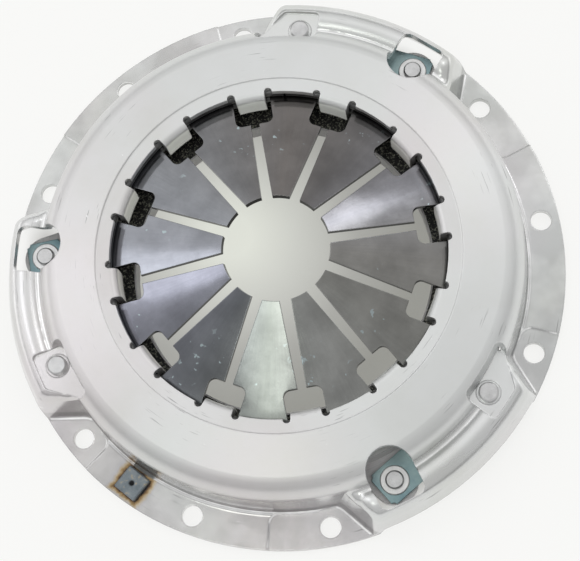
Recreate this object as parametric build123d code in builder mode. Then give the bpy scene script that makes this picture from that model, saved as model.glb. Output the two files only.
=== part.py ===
from build123d import *
from math import acos, asin, atan2, copysign, cos, degrees, hypot, radians, sin, sqrt, tan
import os

os.makedirs("parts", exist_ok=True)

# ---------------------------------------------------------------------------
# Clutch cover assembly for a 200 mm disc, millimetres.
# Z = 0 is the face that bolts to the flywheel, +Z points to the release bearing,
# and the X axis runs through one of the three dowel holes.
# ---------------------------------------------------------------------------

# Driving dimensions: the stamped cover
sheet = 3.0                    # thickness of the pressed steel
bolt_circle_r = 115.0
flange_r = 123.0
flange_hole_r = 4.5
flange_rise = 1.0              # the flange round each dowel stands this much proud of the bolt pads
crown_inner_r = 72.4           # edge of the crown between two tabs
crown_top = 35.5
crown_step_r = 78.4            # fine ridge pressed round the crown
crown_step_rise = 0.6
shoulder_r, shoulder_z, shoulder_radius = 95.0, 24.5, 9.9
wall_flare = 4.6               # degrees off vertical
foot_radius = 2.5

# Driving dimensions: lobes, windows and strap pockets, three of each
sectors = 3
bolt_angles = (30.0, 90.0)     # from the dowel of the same sector
valley_radius, valley_z = 2.0, 23.8
crest_radius, crest_r = 8.5, 112.5
lip_r, lip_z = 122.9, 11.7     # outer edge of a lobe
pad_radius = 8.4               # flat round a bolt hole, up to the foot of the lobe
pad_ends = (17.0, 95.0)        # where each bolt pad stops, on the side of the dowel
pad_inner_r, pad_corner = 107.6, 4.5
pad_run_under = 12.0           # degrees that the plan of a pad runs on below the lobe
pad_ramp = 40.0                # degrees off upright, where the flange steps down to a pad
pad_toe = 2.0                  # below, each pad reaches this much further under the wall
lobe_end_slope = 51.0          # degrees between the end of a lobe and the tangent of the flange
lobe_draft = 14.0
lobe_flare, flare_height = 45.0, 3.0   # slope at the foot of the two ends
lobe_root, lobe_run_out, lobe_apex_r = 22.0, 26.0, 150.0   # how far its plan goes on, off the sheet
lobe_end_radius = 5.0          # between the top of a lobe and its two ends
window_angle, window_half_width, window_corner = 46.5, 10.2, 3.5
window_inner_r, window_outer_r = 94.3, 117.3
pocket_floor = 23.3
pocket_inner_r, pocket_outer_r = 100.8, 114.8
pocket_start, pocket_shoulder, pocket_tip = 71.3, 79.0, 88.0
pocket_corner, pocket_draft = 2.0, 8.0
cover_rivet_angle, plate_rivet_angle, rivet_circle_r = 75.46, 46.7, 106.15

# Driving dimensions: tabs that hold the spring
tab_count = 12
tab_half_angle = 5.2
tab_inner_r = 69.0
tab_tip_r = 76.5
tab_curl_z = 22.6              # top of the curl, under the lower wire ring
tab_bend, curl_bend = 3.4, 4.0
notch_radius, notch_angle = 1.7, 6.54

# Driving dimensions: diaphragm spring and its two wire rings
wire_radius = 1.8
wire_circle_r = 74.0
wire_split = 0.85              # degrees between the two ends of a wire ring
wire_split_angle = 78.0
fit_gap = 0.03
spring_pivot_z = 28.78         # top of the spring under the upper ring
spring_thickness = 2.4
spring_outer_r = 95.0
spring_fall = 15.0             # degrees, from the rings down to the plate
finger_count = 12
finger_tip_r, finger_tip_z = 23.2, 39.6
finger_tip_half_angle = 9.15
slot_root_half_width = 1.85
spring_window_inner_r, spring_window_outer_r = 59.5, 76.6
spring_window_half_width, spring_window_corner = 8.3, 3.0

# Driving dimensions: cast pressure plate
plate_face_z, plate_top_z = 1.0, 11.0
plate_bore_r, plate_outer_r = 65.5, 100.3
ridge_r, ridge_crest = 91.8, 2.0
ridge_foot_inner_r, ridge_foot_outer_r = 87.0, 95.0
ridge_gap_count, ridge_gap_width, ridge_gap_floor = 6, 13.0, 14.0
lug_radius, lug_bottom_z = 10.0, 4.6
lug_root_r, lug_root_half_width = 95.0, 15.0
plate_chamfer = 0.8

# Driving dimensions: drive straps and rivets
leaf, leaves = 0.8, 2
strap_width, strap_overhang, strap_clamped = 16.0, 7.5, 6.5
strap_notch = 1.6
rivet_hole_radius, rivet_radius = 3.25, 3.2
cover_head_radius, cover_head_height = 4.2, 2.7
plate_head_radius, plate_head_height = 3.95, 1.7
washer_radius, washer_height = 6.25, 1.0
closed_head_radius, closed_head_height = 4.8, 2.0
head_chamfer, washer_chamfer = 0.6, 0.35

# Driving dimensions: balance weight
weight_angle, weight_r, weight_side, weight_height = 225.2, 114.6, 11.1, 3.0
weight_turn = -3.5             # degrees off square with the radius
weight_chamfer = 0.5
dimple_radius, dimple_depth = 1.5, 1.0

coin_radius, coin_depth = 5.2, 0.3     # flat pressed round the head of each cover rivet
through = 60.0                 # length of a cut that goes right through


def polar(radius, angle):
    return (radius * cos(radians(angle)), radius * sin(radians(angle)))


def from_bolt(angle, tangential, radial):
    """Point given from the centre of the bolt hole at this angle."""
    x, y = polar(bolt_circle_r + radial, angle)
    return (x - tangential * sin(radians(angle)), y + tangential * cos(radians(angle)))


def on_circle(centre, radius, angle):
    return (centre[0] + radius * cos(radians(angle)), centre[1] + radius * sin(radians(angle)))


# ---------------------------------------------------------------------------
# Cover: one solid below the outer surface of the sheet, less one below its
# inner surface. Both come from the same sections, set in by zero or one sheet.
# ---------------------------------------------------------------------------
shoulder = (shoulder_r, shoulder_z)
crown_edge = (crown_step_r + 0.3, crown_top + crown_step_rise)
crown_reach = hypot(shoulder_r - crown_edge[0], crown_edge[1] - shoulder_z)
crown_fall = degrees(
    atan2(crown_edge[1] - shoulder_z, shoulder_r - crown_edge[0]) - asin(shoulder_radius / crown_reach)
)

valley_rise = valley_z + valley_radius - shoulder_z
valley_centre = (
    shoulder_r + sqrt((shoulder_radius + valley_radius) ** 2 - valley_rise ** 2),
    valley_z + valley_radius,
)
valley_start = degrees(atan2(valley_centre[1] - shoulder_z, valley_centre[0] - shoulder_r))
crest_centre = (
    crest_r,
    valley_centre[1] - sqrt((valley_radius + crest_radius) ** 2 - (crest_r - valley_centre[0]) ** 2),
)
crest_start = degrees(atan2(valley_centre[1] - crest_centre[1], valley_centre[0] - crest_centre[0]))
lip_reach = hypot(lip_r - crest_centre[0], lip_z - crest_centre[1])
lip_angle = degrees(
    atan2(lip_z - crest_centre[1], lip_r - crest_centre[0]) + acos(crest_radius / lip_reach)
)


def dome_section(inset):
    """Half section below the dome and the flange."""
    floor = -1.0 if inset else 0.0
    flange_z = flange_rise if inset else sheet + flange_rise
    rim = flange_r + (1.0 if inset else 0.0)
    bore = crown_inner_r - inset
    radius = shoulder_radius - inset
    foot = foot_radius + inset
    wall_top = on_circle(shoulder, radius, wall_flare)
    foot_centre_z = flange_z + foot
    wall_drop = wall_top[1] - foot_centre_z - foot * sin(radians(wall_flare))
    foot_centre_r = wall_top[0] + wall_drop * tan(radians(wall_flare)) + foot * cos(radians(wall_flare))
    foot_centre = (foot_centre_r, foot_centre_z)
    edge = (
        crown_edge[0] - inset * sin(radians(crown_fall)),
        crown_edge[1] - inset * cos(radians(crown_fall)),
    )
    with BuildSketch(Plane.XZ) as section:
        with BuildLine():
            Polyline((rim, flange_z), (rim, floor), (bore, floor), (bore, crown_top - inset),
                     (crown_step_r - 0.3, crown_top - inset), edge,
                     on_circle(shoulder, radius, 90 - crown_fall))
            ThreePointArc(on_circle(shoulder, radius, 90 - crown_fall), on_circle(shoulder, radius, 45),
                          wall_top)
            Line(wall_top, on_circle(foot_centre, foot, 180 + wall_flare))
            ThreePointArc(on_circle(foot_centre, foot, 180 + wall_flare), on_circle(foot_centre, foot, 225),
                          on_circle(foot_centre, foot, 270))
            Line(on_circle(foot_centre, foot, 270), (rim, flange_z))
        make_face()
    return section.sketch


def lobe_section(inset):
    """Half section below a lobe: valley beside the dome, crest, and falling outer lip."""
    floor = -1.0 if inset else 0.0
    root = on_circle(shoulder, shoulder_radius - inset, valley_start)
    valley, crest = valley_radius + inset, crest_radius - inset
    low_point = on_circle(valley_centre, valley, (valley_start + crest_start) / 2 + 180)
    turn = on_circle(valley_centre, valley, crest_start + 180)
    lip = on_circle((lip_r, lip_z), -inset, lip_angle)
    edge = on_circle((lip_r, lip_z), sheet, lip_angle) if inset else (lip_r, lip_z)
    core = shoulder_r - valley_radius - inset      # under the dome, where the two solids overlap
    with BuildSketch(Plane.XZ) as section:
        with BuildLine():
            Polyline((edge[0], edge[1]), (edge[0], floor), (core, floor), (core, root[1]), root)
            ThreePointArc(root, low_point, turn)
            ThreePointArc(turn, on_circle(crest_centre, crest, (crest_start + lip_angle) / 2),
                          on_circle(crest_centre, crest, lip_angle))
            Line(on_circle(crest_centre, crest, lip_angle), lip)
            if inset:
                Line(lip, edge)
        make_face()
    return section.sketch


def lobe_outline(inset):
    """Plan of a lobe at flange level: it curves round both bolt pads and runs out over the rim."""
    low, high = bolt_angles
    foot = pad_radius + inset
    slope = radians(lobe_end_slope)
    tangent = (foot * sin(slope), -foot * cos(slope))
    middle = (foot * sin(slope / 2), -foot * cos(slope / 2))
    rim = (tangent[0] + lobe_run_out * cos(slope), tangent[1] + lobe_run_out * sin(slope))
    with BuildSketch() as outline:
        with BuildLine():
            Line(from_bolt(low, 0, -lobe_root), from_bolt(low, 0, -foot))
            ThreePointArc(from_bolt(low, 0, -foot), from_bolt(low, *middle), from_bolt(low, *tangent))
            Polyline(from_bolt(low, *tangent), from_bolt(low, *rim), polar(lobe_apex_r, (low + high) / 2),
                     from_bolt(high, -rim[0], rim[1]), from_bolt(high, -tangent[0], tangent[1]))
            ThreePointArc(from_bolt(high, -tangent[0], tangent[1]), from_bolt(high, -middle[0], middle[1]),
                          from_bolt(high, 0, -foot))
            Polyline(from_bolt(high, 0, -foot), from_bolt(high, 0, -lobe_root),
                     polar(bolt_circle_r - 1.5 * lobe_root, (low + high) / 2),
                     from_bolt(low, 0, -lobe_root))
        make_face()
    return outline.sketch


def pad_outline(bolt, end, grow):
    """Plan of one bolt pad: square to the rim where it ends, round the hole, and on below the lobe."""
    inner = pad_inner_r - grow
    outer = flange_r + 2 * pad_corner
    near = end + copysign(degrees(grow / bolt_circle_r), end - bolt)
    far = bolt + copysign(pad_run_under, bolt - end)
    with BuildSketch() as outline:
        with BuildLine():
            Line(polar(inner, near), polar(outer, near))
            ThreePointArc(polar(outer, near), polar(outer, (near + far) / 2), polar(outer, far))
            Line(polar(outer, far), polar(inner, far))
            ThreePointArc(polar(inner, far), polar(inner, (near + far) / 2), polar(inner, near))
        make_face()
        fillet(outline.vertices().sort_by_distance((*polar(inner, near), 0))[0], radius=pad_corner + grow)
        with Locations(polar(bolt_circle_r, bolt)):
            Circle(pad_radius + grow)
    return outline.sketch


with BuildPart(mode=Mode.PRIVATE) as pad_relief:
    for bolt, end in zip(bolt_angles, pad_ends):
        with BuildSketch(Plane.XY.offset(sheet)):
            add(pad_outline(bolt, end, 0))
        extrude(amount=2 * flange_rise, taper=-pad_ramp)

with BuildPart(mode=Mode.PRIVATE) as pads:
    for bolt, end in zip(bolt_angles, pad_ends):
        with BuildSketch():
            add(pad_outline(bolt, end, pad_toe))
            add(lobe_outline(0), mode=Mode.SUBTRACT)
            Circle(flange_r, mode=Mode.INTERSECT)
            Circle(pad_inner_r - 2 * pad_toe, mode=Mode.SUBTRACT)
        extrude(amount=sheet)


def lobe_prism(inset):
    """Upright body over the plan of a lobe, drafted, with a flare at the foot of the outer skin."""
    with BuildPart(mode=Mode.PRIVATE) as prism:
        with BuildSketch():
            add(lobe_outline(inset))
        extrude(amount=crown_top, taper=lobe_draft)
        if not inset:
            with BuildSketch(Plane.XY.offset(sheet)):
                add(lobe_outline(0))
            extrude(amount=flare_height, taper=lobe_flare)
    return prism.part


def skin(inset):
    """Solid below the outer surface of the sheet, or with an inset below its inner surface."""
    with BuildPart(mode=Mode.PRIVATE) as lobe:
        add(lobe_section(inset))
        revolve(axis=Axis.Z)
        add(lobe_prism(inset), mode=Mode.INTERSECT)
        shoulders = lobe.edges().filter_by(
            lambda edge: edge.geom_type in (GeomType.BSPLINE, GeomType.HYPERBOLA)
            and edge.center().Z > lip_z - inset
        )
        fillet(shoulders, radius=lobe_end_radius - inset)
    with BuildPart() as solid:
        add(dome_section(inset))
        revolve(axis=Axis.Z)
        with PolarLocations(0, sectors):
            if not inset:
                add(pad_relief.part, mode=Mode.SUBTRACT)
            add(lobe.part)
    return solid.part


def radial_plane(angle):
    """Upright plane through the axis: its x is the radius and its y is the height."""
    return Plane((0, 0, 0), x_dir=(*polar(1, angle), 0), z_dir=(*polar(1, angle - 90), 0))


def pocket_outline(grow):
    """Plan of the recess round a strap rivet: square beside the valley, pointed towards the bolt."""
    inner, outer = pocket_inner_r - grow, pocket_outer_r + grow
    start, tip = pocket_start - degrees(grow / outer), pocket_tip + degrees(grow / inner)
    with BuildSketch() as outline:
        with BuildLine():
            Line(polar(inner, start), polar(outer, start))
            ThreePointArc(polar(outer, start), polar(outer, (start + pocket_shoulder) / 2),
                          polar(outer, pocket_shoulder))
            Line(polar(outer, pocket_shoulder), polar(inner, tip))
            ThreePointArc(polar(inner, tip), polar(inner, (start + tip) / 2), polar(inner, start))
        make_face()
        fillet(outline.vertices(), radius=pocket_corner + grow)
    return outline.sketch


def pocket(grow, floor):
    """Solid above the floor of a strap pocket."""
    with BuildPart(mode=Mode.PRIVATE) as recess:
        with BuildSketch(Plane.XY.offset(floor)):
            add(pocket_outline(grow))
        extrude(amount=pocket_floor, taper=-pocket_draft)
    return recess.part


def window_outline():
    """Plan of a window at angle zero: round towards the axis, square with soft corners outside."""
    half = window_half_width
    with BuildSketch(mode=Mode.PRIVATE) as outline:
        with Locations((window_inner_r + half, 0)):
            Rectangle(window_outer_r - window_inner_r - half, 2 * half, align=(Align.MIN, Align.CENTER))
            fillet(outline.vertices().group_by(Axis.X)[-1], radius=window_corner)
            Circle(half)
    return outline.sketch


def spring_slot():
    """Plan of the slot between two fingers at angle zero, with its wide window at the root."""
    tip_half_width = finger_tip_r * sin(radians(180 / finger_count - finger_tip_half_angle))
    start, end = finger_tip_r - 2, spring_window_inner_r + 2      # both ends run out into open space
    window_length = spring_window_outer_r - spring_window_inner_r
    with BuildSketch() as outline:
        with BuildLine():
            Polyline((start, tip_half_width), (end, slot_root_half_width), (end, -slot_root_half_width),
                     (start, -tip_half_width), close=True)
        make_face()
        with Locations((spring_window_inner_r + window_length / 2, 0)):
            RectangleRounded(window_length, 2 * spring_window_half_width, spring_window_corner)
    return outline.sketch


with BuildPart(mode=Mode.PRIVATE) as tab:
    bend = (tab_inner_r + tab_bend, crown_top - tab_bend)
    curl = (tab_inner_r + curl_bend, tab_curl_z + curl_bend - sheet)
    with BuildSketch(radial_plane(-tab_half_angle)):
        with BuildLine():
            Line((bend[0], crown_top - sheet), (bend[0], crown_top))
            CenterArc(bend, tab_bend, 90, 90)
            Line(on_circle(bend, tab_bend, 180), on_circle(curl, curl_bend, 180))
            CenterArc(curl, curl_bend, 180, 90)
            Polyline(on_circle(curl, curl_bend, 270), (tab_tip_r, tab_curl_z - sheet),
                     (tab_tip_r, tab_curl_z), on_circle(curl, curl_bend - sheet, 270))
            CenterArc(curl, curl_bend - sheet, 180, 90)
            Line(on_circle(curl, curl_bend - sheet, 180), on_circle(bend, tab_bend - sheet, 180))
            CenterArc(bend, tab_bend - sheet, 90, 90)
        make_face()
    revolve(axis=Axis.Z, revolution_arc=2 * tab_half_angle)

with BuildPart(mode=Mode.PRIVATE) as inside:
    add(skin(sheet))
    with PolarLocations(0, sectors):
        add(pocket(sheet, pocket_floor - sheet), mode=Mode.SUBTRACT)

with BuildPart() as cover:
    add(skin(0))
    with PolarLocations(0, sectors):
        add(pocket(0, pocket_floor), mode=Mode.SUBTRACT)
    add(inside.part, mode=Mode.SUBTRACT)
    with PolarLocations(0, sectors):
        add(pads.part)
    # Windows over the plate lugs, flange holes, and rivet holes in the pockets
    with BuildSketch(Plane.XY.offset(-1)):
        with PolarLocations(0, sectors, start_angle=window_angle):
            add(window_outline())
        with PolarLocations(bolt_circle_r, sectors):
            Circle(flange_hole_r)
        for bolt in bolt_angles:
            with PolarLocations(bolt_circle_r, sectors, start_angle=bolt):
                Circle(flange_hole_r)
        with PolarLocations(rivet_circle_r, sectors, start_angle=cover_rivet_angle):
            Circle(rivet_hole_radius)
    extrude(amount=through, mode=Mode.SUBTRACT)
    # Flat pressed round the head of each cover rivet
    with BuildSketch(Plane.XY.offset(pocket_floor - coin_depth)):
        with PolarLocations(rivet_circle_r, sectors, start_angle=cover_rivet_angle):
            Circle(coin_radius)
    extrude(amount=sheet, mode=Mode.SUBTRACT)
    # Tabs, bent down from the crown and curled out under the lower wire ring
    with PolarLocations(0, tab_count):
        add(tab.part)
    with BuildSketch(Plane.XY.offset(crown_top - 2 * sheet)):
        for side in (-notch_angle, notch_angle):
            with PolarLocations(crown_inner_r + 0.1, tab_count, start_angle=side):
                Circle(notch_radius)
    extrude(amount=4 * sheet, mode=Mode.SUBTRACT)
cover.part.label = "cover"
export_step(cover.part, "parts/cover.step")


# ---------------------------------------------------------------------------
# Diaphragm spring between its two wire rings
# ---------------------------------------------------------------------------
spring_edge_z = spring_pivot_z - (spring_outer_r - wire_circle_r) * tan(radians(spring_fall))

with BuildPart() as diaphragm_spring:
    with BuildSketch(Plane.XZ):
        with BuildLine():
            Polyline((spring_outer_r, spring_edge_z), (wire_circle_r, spring_pivot_z),
                     (finger_tip_r, finger_tip_z))
            offset(amount=spring_thickness, side=Side.LEFT)
        make_face()
    revolve(axis=Axis.Z)
    with BuildSketch(Plane.XY):
        with PolarLocations(0, finger_count):
            add(spring_slot())
    extrude(amount=through, mode=Mode.SUBTRACT)
diaphragm_spring.part.label = "diaphragm_spring"
export_step(diaphragm_spring.part, "parts/diaphragm_spring.step")


def wire_ring(centre_z):
    """Round wire bent to a circle, with its two ends a little apart."""
    with BuildPart(mode=Mode.PRIVATE) as ring:
        with BuildSketch(radial_plane(wire_split_angle + wire_split / 2)):
            with Locations((wire_circle_r, centre_z)):
                Circle(wire_radius)
        revolve(axis=Axis.Z, revolution_arc=360 - wire_split)
    return ring.part


upper_wire_z = spring_pivot_z + (wire_radius + fit_gap) / cos(radians(spring_fall))
lower_wire_z = tab_curl_z + wire_radius + fit_gap

with BuildPart() as upper_fulcrum_ring:
    add(wire_ring(upper_wire_z))
upper_fulcrum_ring.part.label = "upper_fulcrum_ring"
export_step(upper_fulcrum_ring.part, "parts/upper_fulcrum_ring.step")

with BuildPart() as lower_fulcrum_ring:
    add(wire_ring(lower_wire_z))
lower_fulcrum_ring.part.label = "lower_fulcrum_ring"
export_step(lower_fulcrum_ring.part, "parts/lower_fulcrum_ring.step")


# ---------------------------------------------------------------------------
# Cast pressure plate: machined friction face below, broken ridge for the
# spring above, and three lugs that reach out under the windows of the cover
# ---------------------------------------------------------------------------
ridge_z = (spring_pivot_z - (ridge_r - wire_circle_r) * tan(radians(spring_fall))
           - spring_thickness / cos(radians(spring_fall)) - fit_gap)
crest = (ridge_r, ridge_z - ridge_crest / cos(radians(spring_fall)))


def lug_outline():
    """Plan of a lug at angle zero: round outside, wider where it leaves the ring."""
    with BuildSketch(mode=Mode.PRIVATE) as outline:
        with BuildLine():
            Line((lug_root_r, -lug_root_half_width), (lug_root_r, lug_root_half_width))
            CenterArc((rivet_circle_r, 0), lug_radius, 0, 360)
        make_hull()
    return outline.sketch


with BuildPart() as pressure_plate:
    with BuildSketch(Plane.XZ):
        with Locations((plate_bore_r, plate_face_z)):
            Rectangle(plate_outer_r - plate_bore_r, plate_top_z - plate_face_z,
                      align=(Align.MIN, Align.MIN))
    revolve(axis=Axis.Z)
    with BuildSketch(Plane.XZ):
        with BuildLine():
            Line((ridge_foot_inner_r, plate_top_z - 1), (ridge_foot_outer_r, plate_top_z - 1))
            CenterArc(crest, ridge_crest, 0, 360)
        make_hull()
    revolve(axis=Axis.Z)
    with BuildSketch(Plane.XY.offset(ridge_gap_floor)):
        with PolarLocations(ridge_r, ridge_gap_count, start_angle=180 / ridge_gap_count / 2):
            Rectangle(2 * (ridge_foot_outer_r - ridge_foot_inner_r), ridge_gap_width)
    extrude(amount=ridge_z, mode=Mode.SUBTRACT)
    with BuildSketch(Plane.XY.offset(lug_bottom_z)):
        with PolarLocations(0, sectors, start_angle=plate_rivet_angle):
            add(lug_outline())
    extrude(amount=plate_top_z - lug_bottom_z)
    with BuildSketch(Plane.XY.offset(lug_bottom_z - 1)):
        with PolarLocations(rivet_circle_r, sectors, start_angle=plate_rivet_angle):
            Circle(rivet_hole_radius)
    extrude(amount=plate_top_z, mode=Mode.SUBTRACT)
    face_edges = pressure_plate.edges().filter_by(GeomType.CIRCLE).group_by(Axis.Z)[0]
    chamfer(face_edges, length=plate_chamfer)
pressure_plate.part.label = "pressure_plate"
export_step(pressure_plate.part, "parts/pressure_plate.step")


# ---------------------------------------------------------------------------
# Drive straps: three packs of leaves between the lugs and the pockets
# ---------------------------------------------------------------------------
strap_span = cover_rivet_angle - plate_rivet_angle
strap_chord = 2 * rivet_circle_r * sin(radians(strap_span / 2))
strap_rise = pocket_floor - sheet - leaves * leaf - plate_top_z
bend_run = strap_chord - 2 * strap_clamped
bend_radius = (bend_run ** 2 + strap_rise ** 2) / (4 * strap_rise)
bend_angle = degrees(asin(bend_run / (2 * bend_radius)))


def strap_leaf(pack, level):
    """One leaf: flat under each rivet, and two equal bends between. Level 0 lies underneath."""
    middle = plate_rivet_angle + strap_span / 2 + pack * 360 / sectors
    chord_plane = Plane((*polar(rivet_circle_r * cos(radians(strap_span / 2)), middle), 0),
                        x_dir=(*polar(1, middle + 90), 0), z_dir=(*polar(1, middle), 0))
    first_bend = (-bend_run / 2, plate_top_z + bend_radius)
    raised = plate_top_z + strap_rise
    second_bend = (bend_run / 2, raised - bend_radius)
    end = strap_chord / 2 + strap_overhang
    with BuildPart(mode=Mode.PRIVATE) as strap:
        with BuildSketch(chord_plane):
            for low, mode in ((level + 1) * leaf, Mode.ADD), (level * leaf, Mode.SUBTRACT):
                with BuildLine():
                    Line((-end, plate_top_z + low), (-bend_run / 2, plate_top_z + low))
                    CenterArc(first_bend, bend_radius - low, -90, bend_angle)
                    CenterArc(second_bend, bend_radius + low, 90 + bend_angle, -bend_angle)
                    Polyline((bend_run / 2, raised + low), (end, raised + low),
                             (end, 0), (-end, 0), (-end, plate_top_z + low))
                make_face(mode=mode)
        extrude(amount=strap_width / 2, both=True)
        with BuildSketch(Plane.XY):
            with Locations(Location((chord_plane.origin.X, chord_plane.origin.Y, 0), middle)):
                with GridLocations(strap_width, 2 * end, 2, 2):
                    Circle(strap_notch)
                with GridLocations(0, strap_chord, 1, 2):
                    Circle(rivet_hole_radius)
        extrude(amount=through, mode=Mode.SUBTRACT)
    return strap.part


for pack in range(sectors):
    for level, side in enumerate(("lower", "upper")):
        with BuildPart() as drive_strap:
            add(strap_leaf(pack, level))
        drive_strap.part.label = f"drive_strap_{pack + 1}_{side}_leaf"
        export_step(drive_strap.part, f"parts/{drive_strap.part.label}.step")


# ---------------------------------------------------------------------------
# Rivets at both ends of each strap pack, and the washers under the plate rivets
# ---------------------------------------------------------------------------
def rivet(angle, closed_z, seat_z, head_radius, head_height):
    """Solid rivet: preformed head on top of seat_z, and the head closed under closed_z."""
    low, high = closed_z - closed_head_height, seat_z + head_height
    centre = (*polar(rivet_circle_r, angle), 0)
    with BuildPart(mode=Mode.PRIVATE) as body:
        with BuildSketch(Plane(centre, x_dir=(*polar(1, angle), 0), z_dir=(*polar(1, angle - 90), 0))):
            with BuildLine():
                Polyline((0, low), (closed_head_radius - head_chamfer, low),
                         (closed_head_radius, low + head_chamfer), (closed_head_radius, closed_z),
                         (rivet_radius, closed_z), (rivet_radius, seat_z),
                         (head_radius, seat_z), (head_radius, high - head_chamfer),
                         (head_radius - head_chamfer, high), (0, high), close=True)
            make_face()
        revolve(axis=Axis(centre, (0, 0, 1)))
    return body.part


strap_pack = leaves * leaf
washer_z = plate_top_z + strap_pack

for pack in range(sectors):
    turn = pack * 360 / sectors

    with BuildPart() as cover_strap_rivet:
        add(rivet(cover_rivet_angle + turn, pocket_floor - sheet - strap_pack, pocket_floor - coin_depth,
                  cover_head_radius, cover_head_height))
    cover_strap_rivet.part.label = f"cover_strap_rivet_{pack + 1}"
    export_step(cover_strap_rivet.part, f"parts/{cover_strap_rivet.part.label}.step")

    with BuildPart() as plate_strap_rivet:
        add(rivet(plate_rivet_angle + turn, lug_bottom_z, washer_z + washer_height,
                  plate_head_radius, plate_head_height))
    plate_strap_rivet.part.label = f"plate_strap_rivet_{pack + 1}"
    export_step(plate_strap_rivet.part, f"parts/{plate_strap_rivet.part.label}.step")

    with BuildPart() as plate_rivet_washer:
        with BuildSketch(Plane.XY.offset(washer_z)):
            with Locations(polar(rivet_circle_r, plate_rivet_angle + turn)):
                Circle(washer_radius)
                Circle(rivet_hole_radius, mode=Mode.SUBTRACT)
        extrude(amount=washer_height)
        chamfer(plate_rivet_washer.edges().group_by(Axis.Z)[-1], length=washer_chamfer)
    plate_rivet_washer.part.label = f"plate_rivet_washer_{pack + 1}"
    export_step(plate_rivet_washer.part, f"parts/{plate_rivet_washer.part.label}.step")


# ---------------------------------------------------------------------------
# Balance weight welded to the flange
# ---------------------------------------------------------------------------
weight_seat = sheet + flange_rise
weight_plane = Plane((*polar(weight_r, weight_angle), weight_seat),
                     x_dir=(*polar(1, weight_angle + weight_turn), 0), z_dir=(0, 0, 1))
with BuildPart() as balance_weight:
    with BuildSketch(weight_plane):
        Rectangle(weight_side, weight_side)
    extrude(amount=weight_height)
    chamfer(balance_weight.edges().group_by(Axis.Z)[-1], length=weight_chamfer)
    chamfer(balance_weight.edges().filter_by(Axis.Z), length=weight_chamfer)
    with Locations(weight_plane.offset(weight_height - dimple_depth)):
        Cone(0.1, dimple_radius, dimple_depth, align=(Align.CENTER, Align.CENTER, Align.MIN),
             mode=Mode.SUBTRACT)
balance_weight.part.label = "balance_weight"
export_step(balance_weight.part, "parts/balance_weight.step")
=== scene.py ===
# %% [markdown]
# # A clutch pressure plate, dressed
#
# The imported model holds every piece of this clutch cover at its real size. This notebook loads it, sets up
# the camera, gives each piece its finish, and then adds the table that it lies on and the light round it.
# All lengths are in metres; MM turns millimetres into metres.

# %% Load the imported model
import math

import bmesh
import bpy
from mathutils import Matrix, Vector


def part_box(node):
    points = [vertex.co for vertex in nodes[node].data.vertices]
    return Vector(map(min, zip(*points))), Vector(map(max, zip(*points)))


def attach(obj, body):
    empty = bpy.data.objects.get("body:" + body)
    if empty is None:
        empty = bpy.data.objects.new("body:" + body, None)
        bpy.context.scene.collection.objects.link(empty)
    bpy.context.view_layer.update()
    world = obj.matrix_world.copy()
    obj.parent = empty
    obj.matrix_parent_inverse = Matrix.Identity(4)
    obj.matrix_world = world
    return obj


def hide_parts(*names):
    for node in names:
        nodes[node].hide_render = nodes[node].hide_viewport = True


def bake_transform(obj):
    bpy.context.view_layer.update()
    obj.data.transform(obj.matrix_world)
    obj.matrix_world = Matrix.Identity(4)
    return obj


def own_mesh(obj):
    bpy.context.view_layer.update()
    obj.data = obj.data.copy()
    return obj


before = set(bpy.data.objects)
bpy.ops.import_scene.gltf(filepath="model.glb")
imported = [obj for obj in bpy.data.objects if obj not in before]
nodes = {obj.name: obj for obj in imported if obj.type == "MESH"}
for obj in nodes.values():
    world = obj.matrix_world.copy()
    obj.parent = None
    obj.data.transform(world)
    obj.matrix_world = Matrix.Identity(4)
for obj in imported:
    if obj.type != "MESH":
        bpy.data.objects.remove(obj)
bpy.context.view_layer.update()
MM = 0.001

# %% [markdown]
# ## Camera
#
# The camera looks down steeply from one side and leans a little. It is placed by the point it looks at,
# its distance, its two angles and its roll, because those can be read and changed one at a time.
# A long lens keeps the round flange close to a circle.

# %% Camera
aim = Vector((2.4, -9.7, 20.0)) * MM
distance = 653.5 * MM
azimuth, elevation, roll = (math.radians(a) for a in (-79.16, 73.80, -21.41))

camera_data = bpy.data.cameras.new("camera")
camera_data.lens = 93.98
camera_data.sensor_width = 36.0
camera = bpy.data.objects.new("camera", camera_data)
bpy.context.scene.collection.objects.link(camera)
towards_camera = Vector(
    (
        math.cos(elevation) * math.cos(azimuth),
        math.cos(elevation) * math.sin(azimuth),
        math.sin(elevation),
    )
)
turn = (-towards_camera).to_track_quat("-Z", "Y").to_matrix() @ Matrix.Rotation(roll, 3, "Z")
camera.matrix_world = Matrix.Translation(aim + distance * towards_camera) @ turn.to_4x4()
bpy.context.scene.camera = camera
print("camera at", [round(c / MM) for c in camera.location], "mm")

# %% [markdown]
# ## Helpers for materials
#
# A finish is a small network of nodes. Writing each network out in full would hide the few numbers
# that matter, so this class adds a node and joins its inputs in one line. Every texture is read in
# object coordinates, which here are the same millimetre-true places that the model was built in, so a
# mark can be put exactly where it belongs.

# %% Material helpers
def grey(level, red=0.0, green=0.0, blue=0.0):
    """A neutral colour, with a little of one primary more or less."""
    return (level + red, level + green, level + blue)


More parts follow.
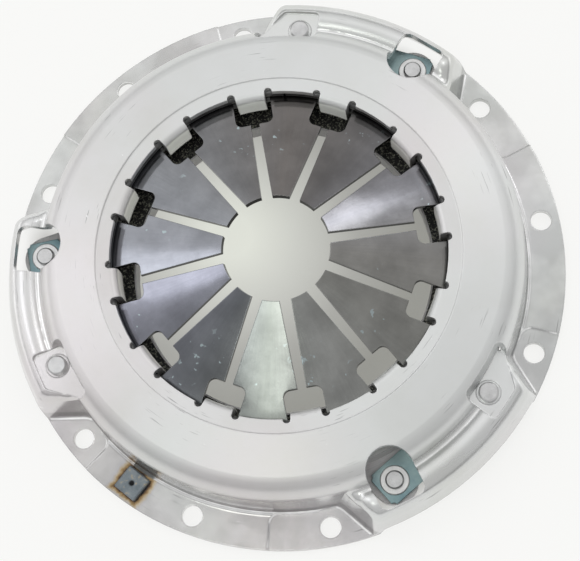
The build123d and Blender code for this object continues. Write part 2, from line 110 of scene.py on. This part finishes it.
class Finish:
    """A material under construction: its node tree, its shader and its object coordinates."""

    def __init__(self, name, metallic=0.0, roughness=0.5, colour=None):
        self.material = bpy.data.materials.new(name)
        self.material.use_nodes = True
        self.tree = self.material.node_tree
        self.shader = self.tree.nodes["Principled BSDF"]
        self.shader.inputs["Metallic"].default_value = metallic
        self.shader.inputs["Roughness"].default_value = roughness
        if colour:
            self.shader.inputs["Base Color"].default_value = (*colour, 1.0)
        self.place = self.node("ShaderNodeTexCoord").outputs["Object"]

    def node(self, kind, **settings):
        """Adds a node. Settings in lower case are its own, the others are its input sockets."""
        made = self.tree.nodes.new(kind)
        for key, value in settings.items():
            if key.islower():
                setattr(made, key, value)
            else:
                self.feed(made.inputs[key], value)
        return made

    def feed(self, socket, value):
        if isinstance(value, bpy.types.NodeSocket):
            self.tree.links.new(value, socket)
        else:
            socket.default_value = value

    def to_shader(self, name, value):
        self.feed(self.shader.inputs[name], value)

    def noise(self, scale, detail=2.0, roughness=0.5, vector=None):
        return self.node("ShaderNodeTexNoise", Vector=vector or self.place, Scale=scale, Detail=detail,
                         Roughness=roughness).outputs["Fac"]

    def ramp(self, value, stops):
        """Colours by value: stops are (position, colour or grey level) pairs."""
        made = self.node("ShaderNodeValToRGB", Fac=value)
        points = made.color_ramp.elements
        while len(points) < len(stops):
            points.new(0.5)
        for point, (position, colour) in zip(points, stops):
            point.position = position
            point.color = (*colour, 1.0) if isinstance(colour, tuple) else (colour, colour, colour, 1.0)
        return made.outputs["Color"]

    def math(self, operation, a, b=0.0, c=0.0):
        made = self.node("ShaderNodeMath", operation=operation)
        for socket, value in zip(made.inputs, (a, b, c)):
            self.feed(socket, value)
        return made.outputs[0]

    def mix(self, factor, a, b, blend="MIX"):
        """Colour a turning into colour b as factor goes from 0 to 1."""
        made = self.node("ShaderNodeMix", data_type="RGBA", blend_type=blend)
        sockets = {s.identifier: s for s in made.inputs}
        self.feed(sockets["Factor_Float"], factor)
        for name, value in (("A_Color", a), ("B_Color", b)):
            self.feed(sockets[name], (*value, 1.0) if isinstance(value, tuple) else value)
        return next(s for s in made.outputs if s.identifier == "Result_Color")

    def polar(self):
        """Radius from the shaft axis and angle round it, and the height, as three sockets."""
        parts = self.node("ShaderNodeSeparateXYZ", Vector=self.place).outputs
        radius = self.math("SQRT", self.math("ADD", self.math("MULTIPLY", parts["X"], parts["X"]),
                                             self.math("MULTIPLY", parts["Y"], parts["Y"])))
        return radius, self.math("ARCTAN2", parts["Y"], parts["X"]), parts["Z"]

    def vector(self, x, y, z):
        return self.node("ShaderNodeCombineXYZ", X=x, Y=y, Z=z).outputs["Vector"]

    def distance_to(self, point):
        made = self.node("ShaderNodeVectorMath", operation="DISTANCE")
        self.feed(made.inputs[0], self.place)
        made.inputs[1].default_value = point
        return made.outputs["Value"]

    def round_edges(self, radius):
        """Rounds sharp edges by this radius, and tells how close to an edge a place is, from 0 to 1."""
        self.rounded = self.node("ShaderNodeBevel", samples=6, Radius=radius).outputs["Normal"]
        agreement = self.node("ShaderNodeVectorMath", operation="DOT_PRODUCT")
        self.feed(agreement.inputs[0], self.rounded)
        self.feed(agreement.inputs[1], self.node("ShaderNodeNewGeometry").outputs["Normal"])
        return self.ramp(self.math("SUBTRACT", 1.0, agreement.outputs["Value"]), [(0.02, 0.0), (0.14, 1.0)])

    def lying_flat(self):
        """1 on faces that lie flat, 0 on upright ones."""
        normal = self.node("ShaderNodeNewGeometry").outputs["Normal"]
        upward = self.node("ShaderNodeSeparateXYZ", Vector=normal).outputs["Z"]
        return self.ramp(self.math("ABSOLUTE", upward), [(0.35, 0.0), (0.65, 1.0)])

    def relief(self, height, strength, depth):
        """Bumps of this depth, on top of any rounded edges."""
        made = self.node("ShaderNodeBump", Height=height, Strength=strength, Distance=depth)
        if hasattr(self, "rounded"):
            self.feed(made.inputs["Normal"], self.rounded)
        self.to_shader("Normal", made.outputs["Normal"])

    def dress(self, *objects):
        for thing in objects:
            slots = thing.data.materials
            slots.clear()
            slots.append(self.material)
        print(self.material.name, "on", [thing.name for thing in objects])


# %% [markdown]
# ## Pressed steel of the cover
#
# The cover is cut and pressed from one sheet of mild steel. The press leaves a satin skin: pale, slightly
# cloudy, with fine grain and faint rings where the sheet was drawn over the die, and handling adds short
# dark scuffs. Rings and scuffs follow the drawing direction, so both are noise laid out in radius and
# angle instead of in straight axes. A few small dents are painted as near-white specks, which are painted
# highlights, in the same patches as the scuffs.

# %% Pressed steel
steel = Finish("pressed_steel", metallic=0.86)
radius, angle, height = steel.polar()
cloud = steel.noise(16.0, 5.0, 0.6)
grain = steel.noise(1500.0, 3.0, 0.7)
rings = steel.noise(1.0, 2.0, 0.5, steel.vector(steel.math("MULTIPLY", radius, 420.0), angle,
                                                steel.math("MULTIPLY", height, 300.0)))
scuff_field = steel.vector(steel.math("MULTIPLY", angle, 9.0), steel.math("MULTIPLY", radius, 1500.0),
                           steel.math("MULTIPLY", height, 500.0))
scuffs = steel.ramp(steel.noise(1.0, 1.0, 0.4, scuff_field), [(0.68, 0.0), (0.74, 1.0)])
patches = steel.ramp(steel.noise(34.0, 2.0), [(0.52, 0.0), (0.66, 1.0)])
marks = steel.math("MULTIPLY", scuffs, patches)
colour = steel.ramp(cloud, [(0.30, grey(0.65, blue=-0.02)), (0.52, grey(0.71)),
                            (0.72, grey(0.75, blue=0.01))])
warmth = steel.ramp(steel.noise(11.0, 2.0), [(0.36, (1.0, 0.965, 0.975)), (0.60, (0.985, 1.0, 0.985))])
colour = steel.mix(1.0, colour, warmth, "MULTIPLY")
colour = steel.mix(steel.math("MULTIPLY", marks, 0.7), colour, grey(0.24))
# Painted highlights: small specks in the scuff patches painted near white, for dents that catch the light
dent_painted_highlights = steel.ramp(steel.noise(430.0, 2.0, 0.5), [(0.76, 0.0), (0.79, 1.0)])
colour = steel.mix(steel.math("MULTIPLY", dent_painted_highlights, patches), colour, grey(0.97))
print("pressed steel started")

# %% [markdown]
# ### Heat tint
#
# Where the balance weight was welded on, the heat left a straw, brown and blue tint. It is a colour ramp of
# the distance from the sides of the weight, made uneven by a noise and weaker below the sheet.

# %% Heat tint round the balance weight
low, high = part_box("balance_weight")
weld_centre = (low + high) / 2
weight_half_side, weight_heading = 5.55 * MM, math.radians(221.7)
from_weight = steel.node("ShaderNodeVectorMath", operation="SUBTRACT")
steel.feed(from_weight.inputs[0], steel.place)
from_weight.inputs[1].default_value = weld_centre
sideways = []
for turn_angle in (weight_heading, weight_heading + math.pi / 2):
    along = steel.node("ShaderNodeVectorMath", operation="DOT_PRODUCT")
    steel.feed(along.inputs[0], from_weight.outputs[0])
    along.inputs[1].default_value = (math.cos(turn_angle), math.sin(turn_angle), 0.0)
    sideways.append(steel.math("ABSOLUTE", along.outputs["Value"]))
from_side = steel.math("SUBTRACT", steel.math("MAXIMUM", *sideways), weight_half_side)
above = steel.math("MULTIPLY", steel.math("ABSOLUTE", steel.math("SUBTRACT", height, weld_centre.z)), 0.35)
wander = steel.math("MULTIPLY_ADD", steel.noise(150.0, 4.0, 0.6), 6.0 * MM, -3.0 * MM)
weld_reach = steel.math("ADD", steel.math("ADD", from_side, above), wander)
tint_scale = steel.math("DIVIDE", weld_reach, 5.0 * MM)
tint = steel.ramp(tint_scale, [(0.04, (0.05, 0.05, 0.06)), (0.18, (0.13, 0.085, 0.06)),
                               (0.34, (0.40, 0.27, 0.13)), (0.52, (0.62, 0.50, 0.32)),
                               (0.80, (0.60, 0.60, 0.66))])
tint_share = steel.ramp(tint_scale, [(0.40, 1.0), (0.95, 0.0)])
through_sheet = steel.ramp(steel.math("DIVIDE", height, 4.0 * MM), [(0.40, 0.35), (0.70, 1.0)])
colour = steel.mix(steel.math("MULTIPLY", tint_share, through_sheet), colour, tint)
coined = steel.math("LESS_THAN", height, 5.5 * MM)
smudges = steel.ramp(steel.noise(42.0, 3.0, 0.55), [(0.38, 0.74), (0.62, 0.95)])
colour = steel.mix(coined, colour, steel.mix(1.0, colour, smudges, "MULTIPLY"))
print("tint centred on", [round(c / MM, 1) for c in weld_centre], "mm")

# %% [markdown]
# ### Painted highlights and shade of the pressing
#
# Along the foot of the wall a bright line is painted, with a darker band above it: a painted highlight and a
# painted shade. A painted highlight also runs along the valley between the dome and the lobes, and along
# every sharp edge. The lines are picked by height and radius. The roughness is lower on the low parts,
# where the tool burnishes the sheet.

# %% Painted highlights and shade of the pressing
centimetres = steel.math("DIVIDE", height, 10.0 * MM)
# Painted highlight along the foot of the wall, and painted shade above it, both picked by height
painted_foot_highlight = steel.ramp(centimetres, [(0.308, 0.0), (0.315, 1.0), (0.388, 1.0), (0.395, 0.0),
                                     (0.405, 0.0), (0.415, 1.0), (0.47, 1.0), (0.53, 0.0)])
painted_foot_shade = steel.ramp(centimetres, [(0.52, 0.0), (0.60, 1.0), (0.85, 1.0), (1.0, 0.0)])
rim_radius, valley_radius, valley_height = 122.0 * MM, 107.0 * MM, 24.0 * MM
inside_rim = steel.math("LESS_THAN", radius, rim_radius)
# Painted highlight along the valley between the dome and the lobes
painted_valley_highlight = steel.math("MULTIPLY", steel.math("COMPARE", radius, valley_radius, 0.7 * MM),
                         steel.math("COMPARE", height, valley_height, 0.4 * MM))
painted_highlights = steel.math("MAXIMUM", steel.math("MULTIPLY", painted_foot_highlight, inside_rim),
                   steel.math("MULTIPLY", painted_valley_highlight, 0.6))
# Painted highlight along every sharp edge, within 0.7 mm of it
painted_highlights = steel.math("MAXIMUM", painted_highlights, steel.math("MULTIPLY", steel.round_edges(0.7 * MM), 0.85))
uneven = steel.ramp(steel.noise(60.0, 3.0, 0.6), [(0.35, 0.45), (0.55, 1.0)])
# The highlights are painted near white, and the painted shade above the foot dark grey
colour = steel.mix(steel.math("MULTIPLY", painted_highlights, uneven), colour, grey(0.97))
painted_shade_share = steel.math("MULTIPLY", painted_foot_shade, steel.math("MULTIPLY", uneven, 0.45))
colour = steel.mix(painted_shade_share, colour, grey(0.20))
steel.to_shader("Base Color", colour)
burnished = steel.ramp(steel.math("DIVIDE", height, 40.0 * MM), [(0.56, 1.0), (0.72, 0.0)])
satin = steel.math("MULTIPLY_ADD", cloud, 0.20, 0.29)
steel.to_shader("Roughness", steel.math("SUBTRACT", satin, steel.math("MULTIPLY", burnished, 0.20)))
steel.relief(steel.math("ADD", steel.math("MULTIPLY", grain, 0.25), rings), 0.3, 0.04 * MM)
steel.dress(nodes["cover"])

# %% [markdown]
# ## Spring steel of the diaphragm spring
#
# The spring is stamped from carbon spring steel, hardened and shot peened, and comes out dark grey with a
# violet or brown cast. It is smoother than the cover, so it mirrors the lamps. A colour ramp of the angle
# round the shaft gives each finger its own grey and tint: partly that temper tint, partly a painted
# reflection, which sets how bright each finger looks. The cut edges are painted lighter, partly bare
# sheared steel and partly a painted edge highlight, and the upright faces are painted near black as
# painted shade. The peening nicks are a few lighter spots of a finer noise, kept to some patches by a
# slower one.

# %% Spring steel
dark_steel = Finish("spring_steel", metallic=1.0)
radius, angle, _ = dark_steel.polar()
turned = dark_steel.math("MULTIPLY_ADD", angle, 0.5 / math.pi, 0.5)
# Painted reflection: each finger's grey, by angle, is set to how bright it should look; part of it is temper
# tint
temper_tint_and_painted_reflection = dark_steel.ramp(turned, [(0.04, (0.24, 0.245, 0.285)), (0.125, (0.18, 0.19, 0.205)),
                                (0.21, (0.20, 0.21, 0.20)), (0.29, (0.325, 0.33, 0.32)),
                                (0.375, (0.265, 0.265, 0.25)), (0.46, (0.235, 0.23, 0.22)),
                                (0.54, (0.195, 0.195, 0.21)), (0.63, (0.135, 0.13, 0.13)),
                                (0.71, (0.185, 0.172, 0.165)), (0.80, (0.21, 0.21, 0.215)),
                                (0.88, (0.285, 0.295, 0.315)), (0.96, (0.285, 0.295, 0.325))])
streaks = dark_steel.noise(1.0, 2.0, 0.5, dark_steel.vector(dark_steel.math("MULTIPLY", angle, 60.0),
                                                           dark_steel.math("MULTIPLY", radius, 45.0), 0.0))
clouds = dark_steel.noise(55.0, 4.0, 0.6)
blotches = dark_steel.ramp(dark_steel.math("ADD", dark_steel.math("MULTIPLY", streaks, 0.14),
                                           dark_steel.math("MULTIPLY", clouds, 0.86)),
                           [(0.35, 0.80), (0.65, 1.14)])
nick_shape = dark_steel.ramp(dark_steel.noise(300.0, 2.0, 0.6), [(0.65, 0.0), (0.69, 1.0)])
nick_choice = dark_steel.ramp(dark_steel.noise(48.0, 1.0), [(0.51, 0.0), (0.58, 1.0)])
outer_half = dark_steel.ramp(dark_steel.math("DIVIDE", radius, 100.0 * MM), [(0.38, 0.0), (0.52, 1.0)])
nicks = dark_steel.math("MULTIPLY", dark_steel.math("MULTIPLY", nick_shape, nick_choice), outer_half)
colour = dark_steel.mix(1.0, temper_tint_and_painted_reflection, blotches, "MULTIPLY")
colour = dark_steel.mix(nicks, colour, (0.42, 0.50, 0.52))
# Cut edges painted lighter: partly bare sheared steel, partly a painted edge highlight
sheared_and_painted_edge = dark_steel.math("MULTIPLY", dark_steel.round_edges(0.45 * MM), 0.6)
colour = dark_steel.mix(sheared_and_painted_edge, colour, grey(0.46))
# Upright faces painted near black: painted shade on the cut sides of the fingers and slots
dark_steel.to_shader("Base Color", dark_steel.mix(dark_steel.lying_flat(), grey(0.03), colour))
grain = dark_steel.noise(1100.0, 3.0, 0.65)
rim_grip = dark_steel.ramp(dark_steel.math("DIVIDE", radius, 100.0 * MM), [(0.67, 0.0), (0.76, 0.24)])
polish = dark_steel.math("MULTIPLY_ADD", grain, 0.07, 0.08)
dark_steel.to_shader("Roughness", dark_steel.math("ADD", polish, rim_grip))
dark_steel.relief(grain, 0.12, 0.02 * MM)

# The fulcrum rings are painted near black as painted shade, for the shaded gap under the cover's edge
wire_painted_dark = Finish("ring_wire", metallic=1.0, roughness=0.3)
wire_painted_dark.to_shader("Base Color", wire_painted_dark.ramp(wire_painted_dark.noise(120.0, 3.0), [(0.3, 0.05), (0.7, 0.14)]))
wire_painted_dark.relief(wire_painted_dark.noise(1400.0, 2.0), 0.15, 0.02 * MM)
wire_painted_dark.dress(nodes["upper_fulcrum_ring"], nodes["lower_fulcrum_ring"])

# %% [markdown]
# ## Cast iron of the pressure plate
#
# The plate is grey iron. Its upper side keeps the dark skin of the sand mould, with pale specks painted in
# as glints, while the bore, the friction face below and the outside with its three lugs are machined pale,
# with the fine rings that a lathe tool leaves. One material holds both, chosen by radius and height, because
# the casting is one piece.

# %% Cast iron
iron = Finish("cast_iron", roughness=0.5)
radius, _, height = iron.polar()
sand = iron.noise(900.0, 4.0, 0.75)
# Painted glints: sparse pale specks in the dark skin
painted_glints = iron.ramp(iron.noise(1150.0, 2.0, 0.8), [(0.54, 0.0), (0.63, 1.0)])
skin = iron.mix(painted_glints, iron.ramp(sand, [(0.35, 0.006), (0.7, 0.030)]), (0.44, 0.44, 0.36))
machined = iron.ramp(iron.noise(120.0, 4.0, 0.6), [(0.3, grey(0.76, red=0.02)), (0.7, grey(0.88, red=0.01))])
turning = iron.noise(1.0, 2.0, 0.6, iron.vector(iron.math("MULTIPLY", radius, 2600.0), 0.0,
                                               iron.math("MULTIPLY", height, 1800.0)))
machined = iron.mix(1.0, machined, iron.ramp(turning, [(0.35, 0.86), (0.62, 1.0)]), "MULTIPLY")
turned_outside, turned_bore, friction_face = 90.5 * MM, 66.2 * MM, 1.9 * MM
cut = iron.math("MAXIMUM", iron.math("GREATER_THAN", radius, turned_outside),
                iron.math("MAXIMUM", iron.math("LESS_THAN", radius, turned_bore),
                          iron.math("LESS_THAN", height, friction_face)))
iron.to_shader("Base Color", iron.mix(cut, skin, machined))
iron.to_shader("Metallic", iron.math("MULTIPLY_ADD", cut, 0.1, 0.1))
iron.round_edges(0.4 * MM)
iron.relief(sand, 0.8, 0.25 * MM)
iron.dress(nodes["pressure_plate"])

# %% [markdown]
# ## Straps, rivets, washers and balance weight
#
# The strap leaves are blued spring steel, which looks dark teal. Rivets are plain drawn steel, and the
# washers are zinc plated. The weight is hot rolled, with blue-grey scale and a few bare chips, and a painted
# shade darkens the wall of its dimple. They differ mostly in colour, gloss and grain, so one function makes
# all four.

# %% Small parts
def small_part_finish(name, low_colour, high_colour, metallic, roughness,
                      chips=None, patches=260.0, dimple=None):
    made = Finish(name, metallic=metallic)
    colour = made.ramp(made.noise(patches, 4.0, 0.65), [(0.32, low_colour), (0.68, high_colour)])
    if chips:
        bare = made.ramp(made.noise(520.0, 2.0, 0.6), [(0.60, 0.0), (0.68, 1.0)])
        colour = made.mix(bare, colour, chips)
    if dimple:
        # Painted shade: the wall of the dimple is painted near black, in a ring round its centre
        from_dimple = made.math("DIVIDE", made.distance_to(dimple), 2.0 * MM)
        shade = made.ramp(from_dimple, [(0.10, 0.3), (0.28, 0.95), (0.50, 0.95), (0.64, 0.0)])
        colour = made.mix(shade, colour, grey(0.015))
    made.to_shader("Base Color", colour)
    fine = made.noise(2200.0, 3.0, 0.7)
    made.to_shader("Roughness", made.math("MULTIPLY_ADD", fine, 0.16, roughness - 0.08))
    made.round_edges(0.3 * MM)
    made.relief(fine, 0.25, 0.03 * MM)
    return made


blued = small_part_finish("blued_strap", (0.16, 0.255, 0.285), (0.34, 0.45, 0.455), 0.85, 0.34, patches=60.0)
bright = small_part_finish("rivet_steel", grey(0.52), grey(0.66), 0.85, 0.30)
zinc = small_part_finish("zinc_washer", grey(0.66), grey(0.80, blue=-0.01), 0.8, 0.30)
scale = small_part_finish("weight_scale", (0.15, 0.18, 0.20), (0.26, 0.29, 0.31), 0.6, 0.40,
                          chips=(0.36, 0.33, 0.26), dimple=(weld_centre.x, weld_centre.y, high.z))
bright.dress(*[o for n, o in nodes.items() if "rivet" in n and "washer" not in n])
zinc.dress(*[o for n, o in nodes.items() if "washer" in n])
scale.dress(nodes["balance_weight"])

# %% [markdown]
# ## Spring and straps that flex
#
# On a car the spring flattens as the plate rises, and the strap leaves bend between their two rivets. The
# imported solids are rigid, so each is copied into a piece of its own, and the imported one is hidden. The
# spring's copy hangs from the cover's body, and each leaf is cut across at even steps between its two
# rivets, because a bend shows only where a mesh has points.

# %% Flexing pieces
def flexible_copy(node_name, piece_name, finish):
    source = nodes[node_name]
    piece = bpy.data.objects.new(piece_name, source.data.copy())
    bpy.context.scene.collection.objects.link(piece)
    finish.dress(piece)
    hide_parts(node_name)
    return piece


spring = flexible_copy("diaphragm_spring", "flexing_spring", dark_steel)
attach(spring, "cover_assembly")
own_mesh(spring)


def middle_of(node_name):
    low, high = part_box(node_name)
    return (low + high) / 2


cuts = 14
for number in (1, 2, 3):
    plate_end = middle_of(f"plate_strap_rivet_{number}")
    cover_end = middle_of(f"cover_strap_rivet_{number}")
    plate_end.z = cover_end.z
    along = (cover_end - plate_end).normalized()
    for side in ("lower", "upper"):
        name = f"drive_strap_{number}_{side}_leaf"
        leaf = flexible_copy(name, f"flexing_strap_{number}_{side}", blued)
        mesh = bmesh.new()
        mesh.from_mesh(leaf.data)
        for step in range(1, cuts):
            point = plate_end.lerp(cover_end, step / cuts)
            bmesh.ops.bisect_plane(mesh, geom=mesh.verts[:] + mesh.edges[:] + mesh.faces[:],
                                   plane_co=point, plane_no=along)
        mesh.to_mesh(leaf.data)
        mesh.free()
        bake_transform(leaf)
        print(name, "points:", len(leaf.data.vertices))

# %% [markdown]
# ## Studio
#
# The part lies on a plain pale table inside a light tent. The table shows nearly white to the camera and to
# reflections, and still takes part of its brightness from the light, so the part keeps its shadow. Below the
# part, and near its three windows, a painted shadow darkens the glow, lightest round a spot near the centre.

# %% Table
half = 5.0
table_gap = 0.2 * MM
glow_share = 0.8               # of the table's brightness that doesn't come from the lamps
table_data = bpy.data.meshes.new("table")
corners = [(-half, -half, 0), (half, -half, 0), (half, half, 0), (-half, half, 0)]
table_data.from_pydata(corners, [], [(0, 1, 2, 3)])
table = bpy.data.objects.new("table", table_data)
bpy.context.scene.collection.objects.link(table)
table.location.z = -table_gap

cloth = Finish("table_top", roughness=0.9, colour=(0.90, 0.90, 0.885))
cloth.shader.inputs["Specular IOR Level"].default_value = 0.2
rays = cloth.node("ShaderNodeLightPath").outputs
mirrored = cloth.math("ADD", rays["Is Glossy Ray"], rays["Is Transmission Ray"])
seen = cloth.math("ADD", rays["Is Camera Ray"], mirrored)
# Painted shadow under the part: the glow's colour darkens away from a spot near the centre
from_painted_light_spot = cloth.math("DIVIDE", cloth.distance_to((-22.0 * MM, 22.0 * MM, 0.0)), 200.0 * MM)
painted_shadow_colour = cloth.ramp(from_painted_light_spot, [(0.05, (0.86, 0.88, 0.80)), (0.15, (0.68, 0.69, 0.64)),
                                          (0.21, (0.58, 0.585, 0.545)), (0.29, (0.45, 0.45, 0.42)),
                                          (0.43, (0.35, 0.35, 0.32))])
from_axis = cloth.math("DIVIDE", cloth.polar()[0], 200.0 * MM)
painted_shadow_share = cloth.ramp(from_axis, [(0.44, 1.0), (0.50, 0.0)])
# Painted shadow below each of the three windows
for number in (1, 2, 3):
    below = middle_of(f"plate_strap_rivet_{number}")
    reach = cloth.math("DIVIDE", cloth.distance_to((below.x * 1.08, below.y * 1.08, 0.0)), 40.0 * MM)
    painted_shadow_share = cloth.math("MAXIMUM", painted_shadow_share, cloth.ramp(reach, [(0.32, 0.62), (0.56, 0.0)]))
painted_shadow_share = cloth.math("MULTIPLY", painted_shadow_share, cloth.ramp(from_axis, [(0.56, 1.0), (0.605, 0.0)]))
glow_with_painted_shadow = cloth.mix(painted_shadow_share, (1.0, 1.0, 0.985), painted_shadow_colour)
glow = cloth.node("ShaderNodeEmission", Color=glow_with_painted_shadow, Strength=1.0)
blend_shader = cloth.node("ShaderNodeMixShader")
cloth.feed(blend_shader.inputs[0], cloth.math("MULTIPLY", seen, glow_share))
cloth.feed(blend_shader.inputs[1], cloth.shader.outputs[0])
cloth.feed(blend_shader.inputs[2], glow.outputs[0])
cloth.feed(cloth.tree.nodes["Material Output"].inputs["Surface"], blend_shader.outputs[0])
cloth.dress(table)

# %% [markdown]
# ### Light tent
#
# Metal shows what surrounds it, so the tent matters more than any lamp. It is bright above, with a brighter
# band at the horizon and a dark band between the two, which draws the thin dark lines along the creases of
# the pressing. It is also brighter on the far side than on the near one.

# %% Light tent
world = bpy.data.worlds.new("light_tent")
world.use_nodes = True
bpy.context.scene.world = world
tent = world.node_tree


def tent_node(kind, **sockets):
    made = tent.nodes.new(kind)
    for key, value in sockets.items():
        if isinstance(value, bpy.types.NodeSocket):
            tent.links.new(value, made.inputs[key])
        else:
            made.inputs[key].default_value = value
    return made


direction = tent_node("ShaderNodeTexCoord").outputs["Generated"]
parts = tent_node("ShaderNodeSeparateXYZ", Vector=direction).outputs


def tent_levels(value, stops):
    """Brightness of the tent by one coordinate of the direction looked in."""
    made = tent_node("ShaderNodeValToRGB", Fac=value)
    while len(made.color_ramp.elements) < len(stops):
        made.color_ramp.elements.new(0.5)
    for element, (position, level) in zip(made.color_ramp.elements, stops):
        element.position = position
        element.color = (level, level, level, 1.0)
    return made.outputs["Color"]


by_height = tent_levels(parts["Z"], [(0.0, 1.0), (0.22, 1.0), (0.28, 0.28), (0.38, 0.28),
                                     (0.50, 0.70), (1.0, 0.70)])
farther = tent_node("ShaderNodeMapRange", Value=parts["Y"])
farther.inputs["From Min"].default_value = -1.0
by_depth = tent_levels(farther.outputs["Result"], [(0.2, 0.60), (0.49, 0.60), (0.68, 1.0),
                                                   (0.76, 1.0), (0.88, 0.76)])
both = tent_node("ShaderNodeVectorMath")
both.operation = "MULTIPLY"
tent.links.new(by_height, both.inputs[0])
tent.links.new(by_depth, both.inputs[1])
tent.links.new(both.outputs[0], tent.nodes["Background"].inputs["Color"])
tent.nodes["Background"].inputs["Strength"].default_value = 1.49
tent_seen = tent_node("ShaderNodeLightPath").outputs["Is Camera Ray"]
white = tent_node("ShaderNodeBackground", Color=(0.97, 0.97, 0.96, 1.0))
switch = tent_node("ShaderNodeMixShader", Fac=tent_seen)
tent.links.new(tent.nodes["Background"].outputs[0], switch.inputs[1])
tent.links.new(white.outputs[0], switch.inputs[2])
tent.links.new(switch.outputs[0], tent.nodes["World Output"].inputs["Surface"])
print("tent built from", len(tent.nodes), "nodes")

# %% [markdown]
# ## Lamps
#
# Each finger is a small mirror that faces its own way, so a lamp can be aimed at one finger alone. The
# lamps are given by the direction they stand in, as degrees of tilt from straight above along X and Y, by
# the angle they fill, and by how bright their face is. Their power follows from those.

# %% Lamps
lamp_distance = 1.2
lamp_aim = Vector((0, 0, 0.03))


def lamp(name, tilt, span, brightness, tint=(1.0, 1.0, 1.0)):
    lean, heading = math.radians(math.hypot(*tilt)), math.atan2(tilt[1], tilt[0])
    away = Vector((math.sin(lean) * math.cos(heading), math.sin(lean) * math.sin(heading), math.cos(lean)))
    width, depth = (2 * lamp_distance * math.tan(math.radians(s / 2)) for s in span)
    data = bpy.data.lights.new(name, "AREA")
    data.shape = "RECTANGLE"
    data.size, data.size_y = width, depth
    data.energy = brightness * math.pi * width * depth
    data.color = tint
    made = bpy.data.objects.new(name, data)
    bpy.context.scene.collection.objects.link(made)
    made.location = lamp_aim + lamp_distance * away
    made.rotation_euler = away.to_track_quat("Z", "Y").to_euler()
    print(name, "power", round(data.energy, 2), "W")


lamp("near_finger_card", (-10.0, -9.0), (12.5, 12.0), 2.7, (0.96, 1.0, 0.94))
lamp("far_finger_card", (21.0, 23.5), (8.0, 9.0), 3.1, (0.97, 0.98, 1.0))
lamp("left_card", (-30.0, 16.0), (10.0, 20.0), 1.5, (0.95, 0.96, 1.0))
lamp("left_softbox", (-64.0, 8.0), (24.0, 46.0), 0.3)
lamp("low_front_softbox", (-8.0, -76.0), (60.0, 14.0), 0.15)

# %% [markdown]
# ## Finish
#
# The view is set to the Standard transform.

# %% Finish
bpy.context.scene.view_settings.view_transform = "Standard"
